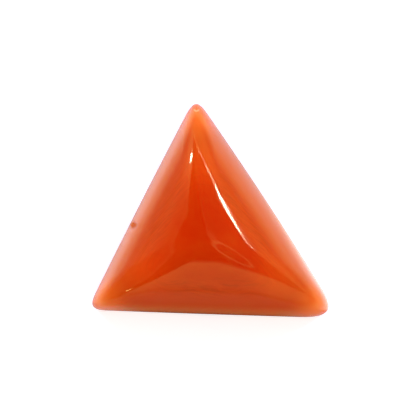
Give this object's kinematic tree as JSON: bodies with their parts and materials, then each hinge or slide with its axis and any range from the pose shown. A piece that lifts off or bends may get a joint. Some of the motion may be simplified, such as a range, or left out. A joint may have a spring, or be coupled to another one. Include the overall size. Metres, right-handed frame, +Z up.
{
  "type": "triangular cabochon gemstone",
  "caption": "Loose triangular coral cabochon with three domed faces, soft ridges and a flat base, for setting in a ring or pendant.",
  "frame": {"origin": "on the flat base, under the summit of the crown, which is where the circle that touches all three sides has its centre", "axes": "+X along the straightest side (the bottom one in plan), +Y towards the corner opposite it, +Z up out of the domed crown"},
  "size_m": [0.0155, 0.0137, 0.0058],
  "materials": {
    "coral": "polished"
  },
  "bodies": {
    "root": {"coral_cabochon": "coral"}
  },
  "joints": []
}
